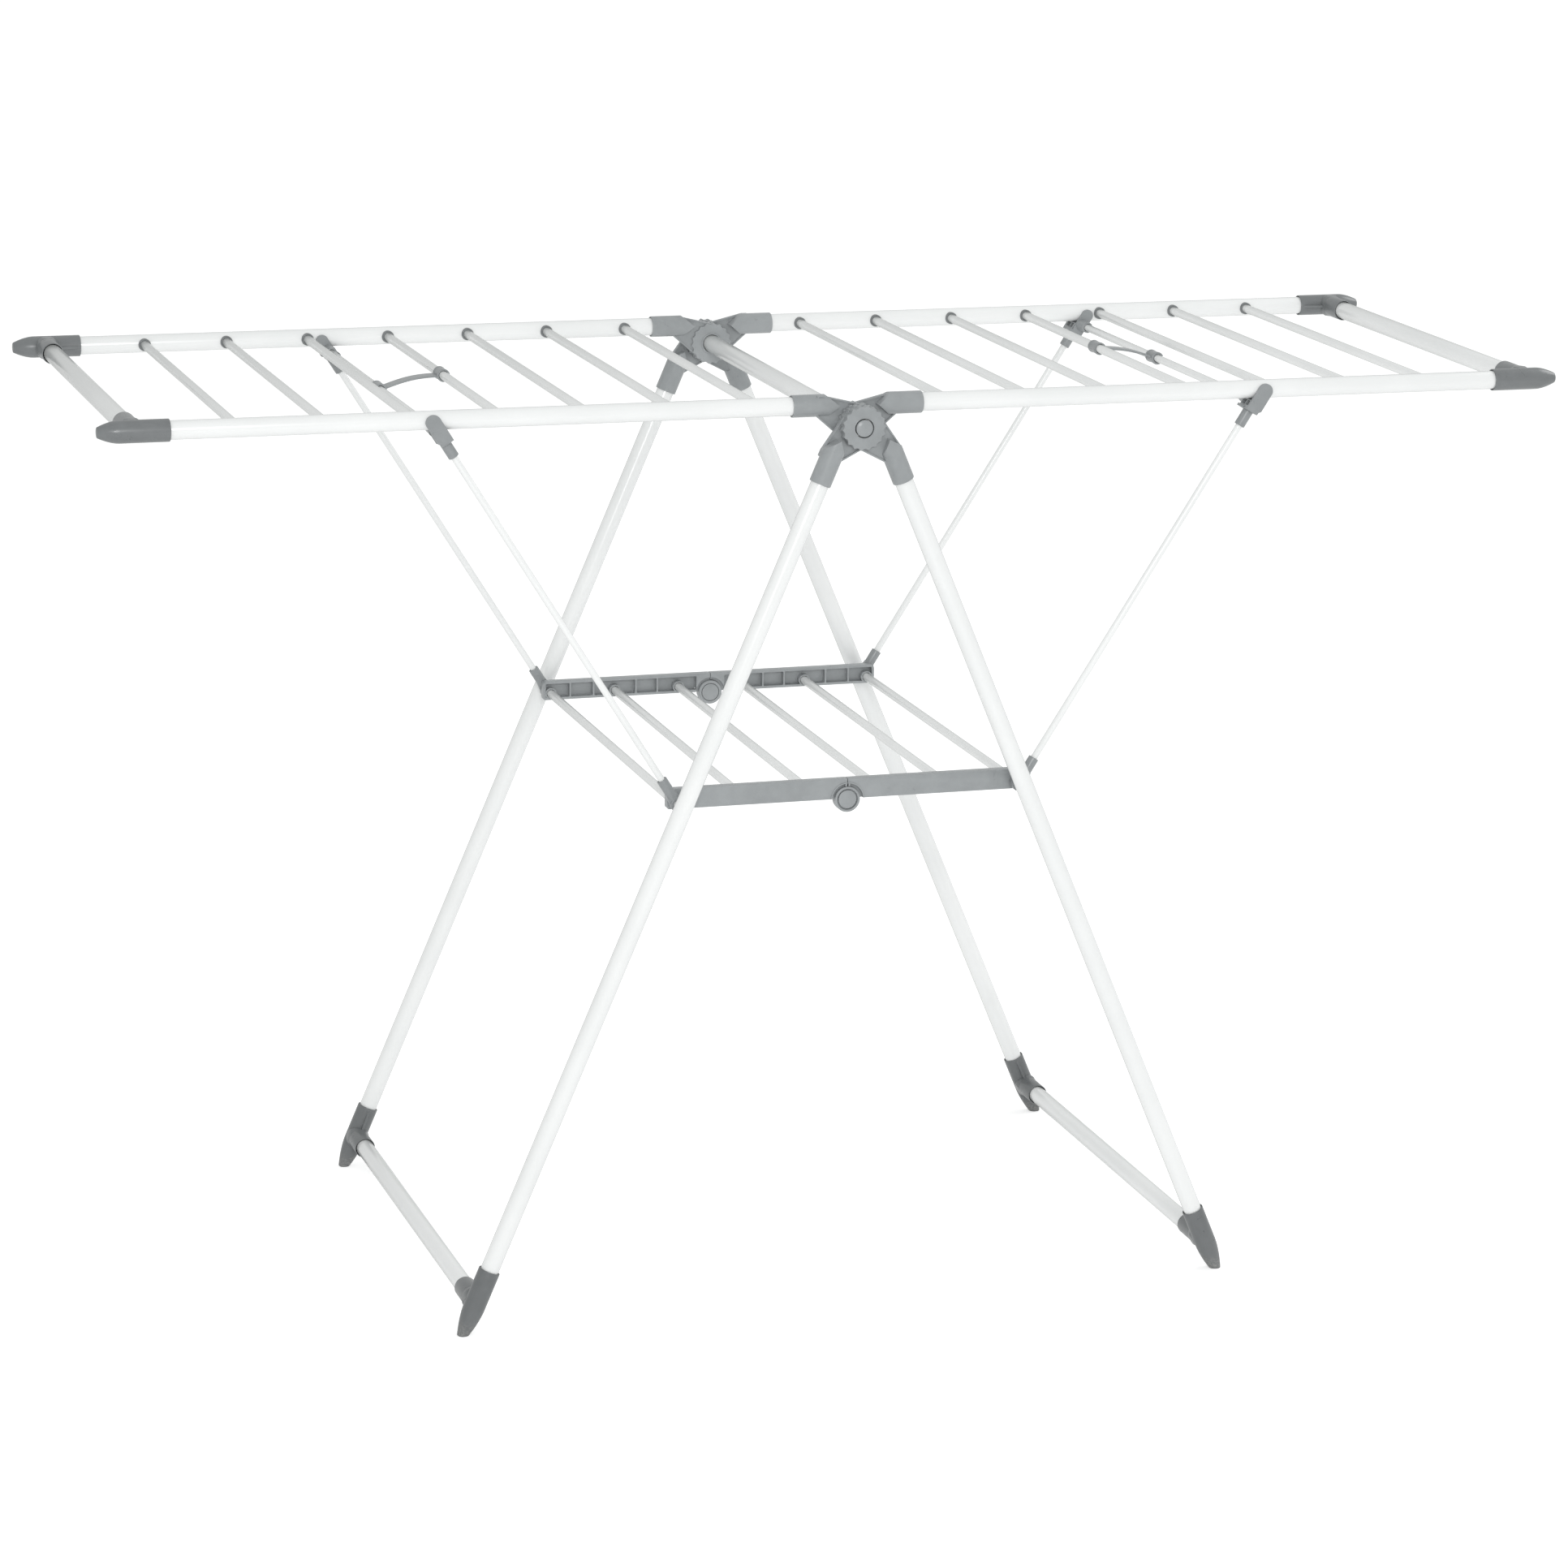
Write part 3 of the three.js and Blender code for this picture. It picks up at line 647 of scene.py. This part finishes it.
def shelfRail(outerLug, openPivot):
    inner, outer, low, high = shelf["inner"], shelf["outer"], shelf["low"], shelf["high"]
    left = shelfPivotX - shelf["overhang"]
    knee = (0, 0, rack["kneeHeight"])
    rungXs = [-(n + 0.5) * shelfPitch for n in range(3)]
    outline = rounded([(left, low, 2.5), (left, high, 4.5), (-0.3, high, 0.3), (-0.3, low, 0.3)], 1)
    steps = []
    # open bays behind the face, with thin ribs between them
    walls = [left + shelf["wall"], rungXs[2] + 22, rungXs[2] + 48, rungXs[1] + 24, rungXs[1] + 48,
             rungXs[0] + 20]
    for a, b in zip(walls, walls[1:] + [-14 - shelf["wall"]]):
        bay = [(a, low + shelf["wall"]), (b - shelf["rib"], low + shelf["wall"]),
               (b - shelf["rib"], high - shelf["wall"]), (a, high - shelf["wall"])]
        steps.append((cut, slab(rounded(bay, 1.2), inner - 1, outer - shelf["wall"], 0)))
    for x in rungXs:
        boss = rod(shelf["rungBoss"], inner, outer - shelf["wall"] + 0.5, "Y",
                   (x, 0, rack["shelfHeight"]), 40, 0.4)
        steps.append((add, boss))
    for n, x in enumerate(rungXs):
        depth = outer + 1 if n == 2 and not openPivot else outer - shelf["wall"]
        hole = rod(rack["rung"] + 0.3, inner - 1, depth, "Y", (x, 0, rack["shelfHeight"]), 40, 0)
        steps.append((cut, hole))
    if openPivot:
        # moulded-over pivot: a shallow dish and a pip on the outer face
        dish = turned([(outer - 0.7, 0), (outer - 0.7, 4.2), (outer + 1, 5.0), (outer + 1, 0)], "Y",
                      (rungXs[2], 0, rack["shelfHeight"]), 40)
        steps.append((cut, dish))
    steps.append((cut, rod(shelf["notch"], shelf["notchFloor"], outer + 1, "Y", knee, 96, 0)))
    steps.append((cut, rod(shelf["notch"], inner - 1, inner + 3.2, "Y", knee, 96, 0)))
    rim = turned(rounded([(outer - 0.6, shelf["notch"], 0), (outer + 0.8, shelf["notch"], 0.2),
                          (outer + 0.8, shelf["notch"] + 1.2, 0.3),
                          (outer - 0.6, shelf["notch"] + 1.1, 0)], 0.2),
                 "Y", knee, 96, closed=True)
    window = brick((-18, -0.3), (outer - 1, outer + 1), (low + 0.2, high - 0.2))
    bar = brick((-2.5, -0.8), (outer - 4.2, outer + 0.5),
                (rack["kneeHeight"] + 13.4, rack["kneeHeight"] + 16.8), 0.2)
    clear = shelf["knob"] + 0.5
    if outerLug:
        partner = rod(clear, inner - 1, shelf["split"], "Y", knee, 96, 0)
        face = shelf["knobFace"]
        line = rounded([
            (shelf["split"] + 0.15, 0, 0), (shelf["split"] + 0.15, shelf["knob"], 0.3),
            (outer + 0.5, shelf["knob"], 0.6),
            (outer + 0.75, 11.4, 0.5), (outer + 0.3, face + 1.3, 0.4), (outer - 2.2, face + 1.1, 0.2),
            (outer - 2.2, face, 0.2),
            (outer + 0.35, face, 0.5), (outer + 0.6, face - 2.5, 1), (outer + 0.7, 0, 0),
        ], 0.3, closed=False)
        # the knuckle's pin has a wide head that shows on the inner side
        pin = turned(rounded([(inner - 0.3, 0), (inner - 0.3, 9.2, 0.4), (inner + 1.1, 9.2, 0.2),
                              (inner + 1.1, shelf["pin"], 0),
                              (shelf["split"] + 1, shelf["pin"], 0), (shelf["split"] + 1, 0)], 0.3,
                             closed=False),
                     "Y", knee, 56)
        steps += [(add, trimmedRim(rim, window)), (add, bar), (cut, partner),
                  (add, turned(line, "Y", knee, 72)), (add, pin)]
    else:
        partner = rod(clear, shelf["split"], outer + 1, "Y", knee, 96, 0)
        line = rounded([
            (inner + 1.4, shelf["pin"] + 0.4, 0), (inner + 1.4, 9.9, 0.2), (inner - 0.4, 9.9, 0.3),
            (inner - 0.4, 12.4, 0.4),
            (inner + 0.2, shelf["knob"], 0.4), (shelf["split"] - 0.15, shelf["knob"], 0.3),
            (shelf["split"] - 0.15, shelf["pin"] + 0.4, 0),
        ], 0.3)
        steps += [(cut, partner), (add, trimmedRim(rim, window)), (add, bar),
                  (cut, rod(shelf["pin"] + 0.4, inner - 1, outer, "Y", knee, 40, 0)),
                  (add, turned(line, "Y", knee, 72, closed=True))]
    return carved(slab(outline, inner, outer, 0.9), *steps)


def makeShelf():
    pinEnd = rack["pivotPinEnd"]
    for end in ("left", "right"):
        openPivot = end == "right"
        for n in range(3):
            half = pinEnd if n == 2 and not openPivot else shelf["outer"] - shelf["wall"] - 0.2
            rung = pipe(rack["rung"], rack["rungBore"], -half, half, "Y",
                        (-(n + 0.5) * shelfPitch, 0, rack["shelfHeight"]), steelTubes["rungSides"])
            piece(f"shelfRung_{end}_{n + 1}", rung, halfTurn[end], whiteCoat,
                  f"shelf_{end}", "white_powder_coat", f"shelf_rung_{end}_{n + 1}")
        for side in (-1, 1):
            rail = shelfRail(side < 0, openPivot)
            flip = flipY if side < 0 else Matrix.Identity(4)
            row = rowOf[end, side]
            piece(f"shelfRail_{row}_{end}", rail, halfTurn[end] @ flip, hubPlastic,
                  f"shelf_{end}", "grey_plastic", f"shelf_rail_{row}_{end}")


makeShelf()
print("shelf made")


support = {
    "eye": 7.5, "eyeInner": 250.4, "eyeOuter": 260.4, "lowerSocket": 5.3, "lowerEnd": 30,
    "upperSocket": 5.4, "upperStart": 43, "seatLow": 26, "seatHigh": 23.2, "plate": 7.6, "plateTop": 6.6,
    "cheek": 6.4, "cheekTop": 4.2, "outerPlate": (265.05, 267.8), "innerPlate": (243, 245.75),
    "seatInboard": 8.6,
    "rodDrop": 14.2, "rodSide": -0.5, "rodBoss": 5.8, "rodBossInner": 225,
}


def plateOutline(half, top, chamfer):
    # a plate with a round top that stands against the wing tube
    base = strutLength - support["seatLow"]
    centre = strutLength + top - half
    angles = [math.pi * n / 24 for n in range(25)]
    dome = [(half * math.cos(a), centre + half * math.sin(a)) for a in angles]
    foot = [(-half, base + chamfer), (-half + chamfer, base)] if chamfer else [(-half, base)]
    return [*foot, (half, base), *dome]


def saddleBracket():
    wingY = rack["wingTubeY"]
    base = strutLength - support["seatLow"]
    top = strutLength - support["seatHigh"]
    outer, inner = support["outerPlate"], support["innerPlate"]

    def seat(x):
        return strutLength + (-(rack["tube"] + 0.3) - x * math.sin(strutTurn)) / math.cos(strutTurn)

    socketLine = rounded([
        (strutLength - support["upperStart"] + 12, 0, 0),
        (strutLength - support["upperStart"] + 12, 3.6, 0),
        (strutLength - support["upperStart"], 3.8, 0.2),
        (strutLength - support["upperStart"], support["upperSocket"], 0.9),
        (base + 1, support["upperSocket"], 0), (base + 1, 0, 0),
    ], 0.3, closed=False)
    # the base plate reaches a little further towards the hub behind the outer plate than at it
    def basePlate(reach, low, high):
        return slab(rounded([(-5.4, base), (reach, base), (reach, top), (-5.8, top)], 0.4), low, high, 0.4)

    floor = basePlate(7.3, wingY - 1, outer[1] - 0.1)
    ledge = basePlate(support["seatInboard"], inner[0] + 0.1, wingY + 1.5)
    saddle = slab([(-6, top - 1), (7.4, top - 1), (7.4, seat(7.4)), (-6, seat(-6))], inner[1] - 0.5,
                  outer[0] + 0.5, 0)
    hollow = slab(rounded([(-2.4, top + 1.2), (9, top + 1.2), (9, seat(8) - 1.6), (-2.4, seat(-3) - 1.6)],
                          0.8),
                  inner[1] + 1.0, outer[0] - 1.0, 0)
    rib = slab([(-3, top - 0.5), (7, top - 0.5), (7, seat(7) - 0.6), (-3, seat(-3) - 0.6)], wingY - 0.8,
               wingY + 0.8, 0.2)
    plate = plateOutline(support["plate"], support["plateTop"], 5)
    cheek = plateOutline(support["cheek"], support["cheekTop"], 0)
    rodX, rodZ = support["rodSide"], strutLength - support["rodDrop"]
    bossLine = rounded([(support["rodBossInner"], 0), (support["rodBossInner"], support["rodBoss"], 0.8),
                        (inner[0] - 5, support["rodBoss"], 0), (inner[0] - 3, 6.3, 1),
                        (inner[0] + 0.5, 6.6, 0), (inner[0] + 0.5, 0)],
                       0.4, closed=False)
    boss = turned(bossLine, "Y", (rodX, 0, rodZ), 48)
    socket = rod(rack["crossRod"] + 0.35, support["rodBossInner"] - 1, inner[0], "Y", (rodX, 0, rodZ), 48,
                 0)
    return carved(
        turned(socketLine, "Z", (0, wingY, 0), 48),
        (add, floor), (add, ledge), (add, saddle), (cut, hollow), (add, rib),
        (add, slab(rounded(plate, 0.3), *outer, 0.7)), (add, slab(rounded(cheek, 0.3), *inner, 0.6)),
        (add, boss), (cut, socket),
    )


def pivotEye():
    wingY = rack["wingTubeY"]
    inner, outer = support["eyeInner"], support["eyeOuter"]
    eye = turned(rounded([(inner, 4.9, 0.3), (inner, support["eye"], 0.8), (outer, support["eye"], 0.8),
                          (outer, 4.9, 0.3)], 0.3),
                 "Y", (0, 0, 0), 48, closed=True)
    socket = turned(rounded([
        (support["lowerEnd"] - 14, 0, 0), (support["lowerEnd"] - 14, 3.6, 0),
        (support["lowerEnd"], 3.9, 0.2),
        (support["lowerEnd"], support["lowerSocket"], 0.8), (13, support["lowerSocket"], 3), (3, 5.0, 0),
        (3, 0, 0),
    ], 0.3, closed=False), "Z", (0, wingY, 0), 48)
    shoulders = slab(rounded([(-6.6, 3.6), (6.6, 3.6), (5.0, 15), (-5.0, 15)], 1), wingY - 3.2,
                     wingY + 3.2, 1.0)
    return carved(eye, (add, socket), (add, shoulders),
                  (cut, rod(4.9, inner - 1, outer + 1, "Y", (0, 0, 0), 48, 0)))


def makeSupports():
    saddle = saddleBracket()
    wire = rod(rack["wire"], support["lowerEnd"] - 12, strutLength - support["upperStart"] + 10, "Z",
               (0, rack["wingTubeY"], 0), 32)
    pin = rod(rack["rung"], support["eyeInner"] - 0.05, rack["pivotPinEnd"], "Y", (0, 0, 0), 32, 0.5)
    eye = pivotEye()

    def build(end, side, row, turn, flip):
        place = turn @ strutPlace @ flip
        node = f"support_strut_{row}_{end}"
        piece(f"strutWire_{row}_{end}", wire, place, whiteCoat, f"support_{end}", "white_powder_coat", node)
        piece(f"strutSaddle_{row}_{end}", saddle, place, saddlePlastic, f"support_{end}", "grey_plastic",
              node)
        piece(f"strutEye_{row}_{end}", eye, place, saddlePlastic, f"support_{end}", "grey_plastic", node)
        if end == "right":
            piece(f"strutPin_{row}", pin, place, whiteCoat, "support_right", "white_powder_coat", node)
    bothHalves(build)
    half = support["innerPlate"][0] - 0.3
    cross = pipe(rack["crossRod"], rack["crossRod"] - 0.8, -half, half, "Y",
                 (support["rodSide"], 0, strutLength - support["rodDrop"]), 36)
    for end in ("left", "right"):
        piece(f"supportRod_{end}", cross, halfTurn[end] @ strutPlace, whiteCoat,
              f"support_{end}", "white_powder_coat", f"support_rod_{end}")


makeSupports()
print("wing supports made")


clip = {"rung": 4, "centre": {"left": 3, "right": -24}, "half": 10, "ring": 6.6, "strap": 2.2,
        "strapHalf": 7.4, "mouth": 4.6}


def strapClip(centre):
    rungX = -(steelTubes["firstRung"] + (clip["rung"] - 1) * steelTubes["pitch"])
    rodAt = strutPlace @ Vector((support["rodSide"], 0, strutLength - support["rodDrop"]))
    hookX, hookZ = rodAt.x - rungX, rodAt.z - wingHeight
    low, high = centre - clip["half"], centre + clip["half"]

    def ring(bore, at):
        line = [(low, bore, 0.2), (low, clip["ring"], 0.6), (low + 2.6, clip["ring"], 0.3),
                (low + 2.9, clip["ring"] - 0.35, 0.2),
                (high - 2.9, clip["ring"] - 0.35, 0.2), (high - 2.6, clip["ring"], 0.3),
                (high, clip["ring"], 0.6), (high, bore, 0.2)]
        return turned(rounded(line, 0.3), "Y", at, 48, closed=True)

    span = math.hypot(hookX, hookZ)
    drop = math.atan2(-hookZ, -hookX)
    arch = []
    for n in range(25):
        along = 4.4 + (span - 8.8) * n / 24
        rise = 3 * math.sin(math.pi * n / 24)
        arch.append((-along * math.cos(drop) + rise * math.sin(drop),
                     -along * math.sin(drop) + rise * math.cos(drop)))
    half = clip["strap"] / 2
    outline = [(x, z + half) for x, z in arch] + [(x, z - half) for x, z in reversed(arch)]
    strap = slab(outline, centre - clip["strapHalf"], centre + clip["strapHalf"], 0.35)
    # the hook snaps over the rod through a slot on its outboard side
    mouth = brick((hookX - 12, hookX), (low - 1, high + 1),
                  (hookZ - clip["mouth"] / 2, hookZ + clip["mouth"] / 2))
    return carved(
        strap, (add, ring(rack["rung"] + 0.35, (0, 0, 0))),
        (add, ring(rack["crossRod"] + 0.6, (hookX, 0, hookZ))),
        (cut, rod(rack["rung"] + 0.4, low - 1, high + 1, "Y", (0, 0, 0), 48, 0)),
        (cut, rod(rack["crossRod"] + 0.65, low - 1, high + 1, "Y", (hookX, 0, hookZ), 48, 0)), (cut, mouth),
    )


def makeClips():
    rungX = -(steelTubes["firstRung"] + (clip["rung"] - 1) * steelTubes["pitch"])
    place = Matrix.Translation((rungX, 0, wingHeight))
    for end in ("left", "right"):
        piece(f"strapClip_{end}", strapClip(clip["centre"][end]), halfTurn[end] @ place, saddlePlastic,
              f"clip_{end}", "grey_plastic", f"support_clip_{end}")


makeClips()
print("clips made")


studio = {
    "floor": 0.88, "floorGlow": 0.12, "backdropGlow": 0.42, "world": 0.73,
    "lights": [
        {"name": "frontSoftbox", "at": (-1.2, -5.0, 2.4), "size": 1.5, "power": 80},
        {"name": "sideSoftbox", "at": (3.2, 0.5, 3.0), "size": 2.0, "power": 34},
    ],
}


def makeStudio():
    bm = bmesh.new()
    bmesh.ops.create_grid(bm, x_segments=12, y_segments=12, size=40)
    floor = bpy.data.objects.new("floor", meshOf(bm))
    bpy.context.scene.collection.objects.link(floor)
    paint = Paint("paleFloor")
    tone = paint.noise(1.5, 2)
    low, high = studio["floor"] - 0.01, studio["floor"] + 0.01
    # the floor looks white to the camera and throws less light up at the rack
    seen = paint.node("ShaderNodeLightPath", {}, {}, "Is Camera Ray")
    glow = [(value, value, value, 1) for value in (studio["floorGlow"], studio["backdropGlow"])]
    floor.data.materials.append(paint.finish(
        Base_Color=paint.blend(tone, (low, low, low, 1), (high, high, high, 1)), Roughness=0.8,
        Emission_Color=paint.blend(seen, *glow), Emission_Strength=1.0,
    ))
    for lamp in studio["lights"]:
        data = bpy.data.lights.new(lamp["name"], "AREA")
        data.shape = "DISK"
        data.size = lamp["size"]
        data.energy = lamp["power"]
        light = bpy.data.objects.new(lamp["name"], data)
        light.location = lamp["at"]
        light.rotation_euler = (Vector((0, 0, 0.55)) - light.location).to_track_quat("-Z", "Y").to_euler()
        bpy.context.scene.collection.objects.link(light)
    world = bpy.data.worlds.new("studio")
    world.use_nodes = True
    background = world.node_tree.nodes["Background"]
    background.inputs["Color"].default_value = (0.988, 1.0, 0.994, 1)
    background.inputs["Strength"].default_value = studio["world"]
    bpy.context.scene.world = world
    bpy.context.scene.view_settings.view_transform = "Standard"


camera = {"at": (-1.5251, -4.9618, 1.7638), "yaw": 17.201, "pitch": -13.96, "roll": 0.831, "lens": 117.69}


def makeCamera():
    yaw, pitch, roll = (math.radians(camera[key]) for key in ("yaw", "pitch", "roll"))
    ahead = Vector((math.sin(yaw) * math.cos(pitch), math.cos(yaw) * math.cos(pitch), math.sin(pitch)))
    right = Vector((math.cos(yaw), -math.sin(yaw), 0))
    up = right.cross(ahead)
    across = right * math.cos(roll) + up * math.sin(roll)
    upward = up * math.cos(roll) - right * math.sin(roll)
    data = bpy.data.cameras.new("camera")
    data.lens = camera["lens"]
    data.sensor_width = 36
    data.clip_end = 100
    view = bpy.data.objects.new("camera", data)
    turn = Matrix((across, upward, -ahead)).transposed().to_4x4()
    view.matrix_world = Matrix.Translation(camera["at"]) @ turn
    bpy.context.scene.collection.objects.link(view)
    bpy.context.scene.camera = view


makeStudio()
makeCamera()
print("studio ready")
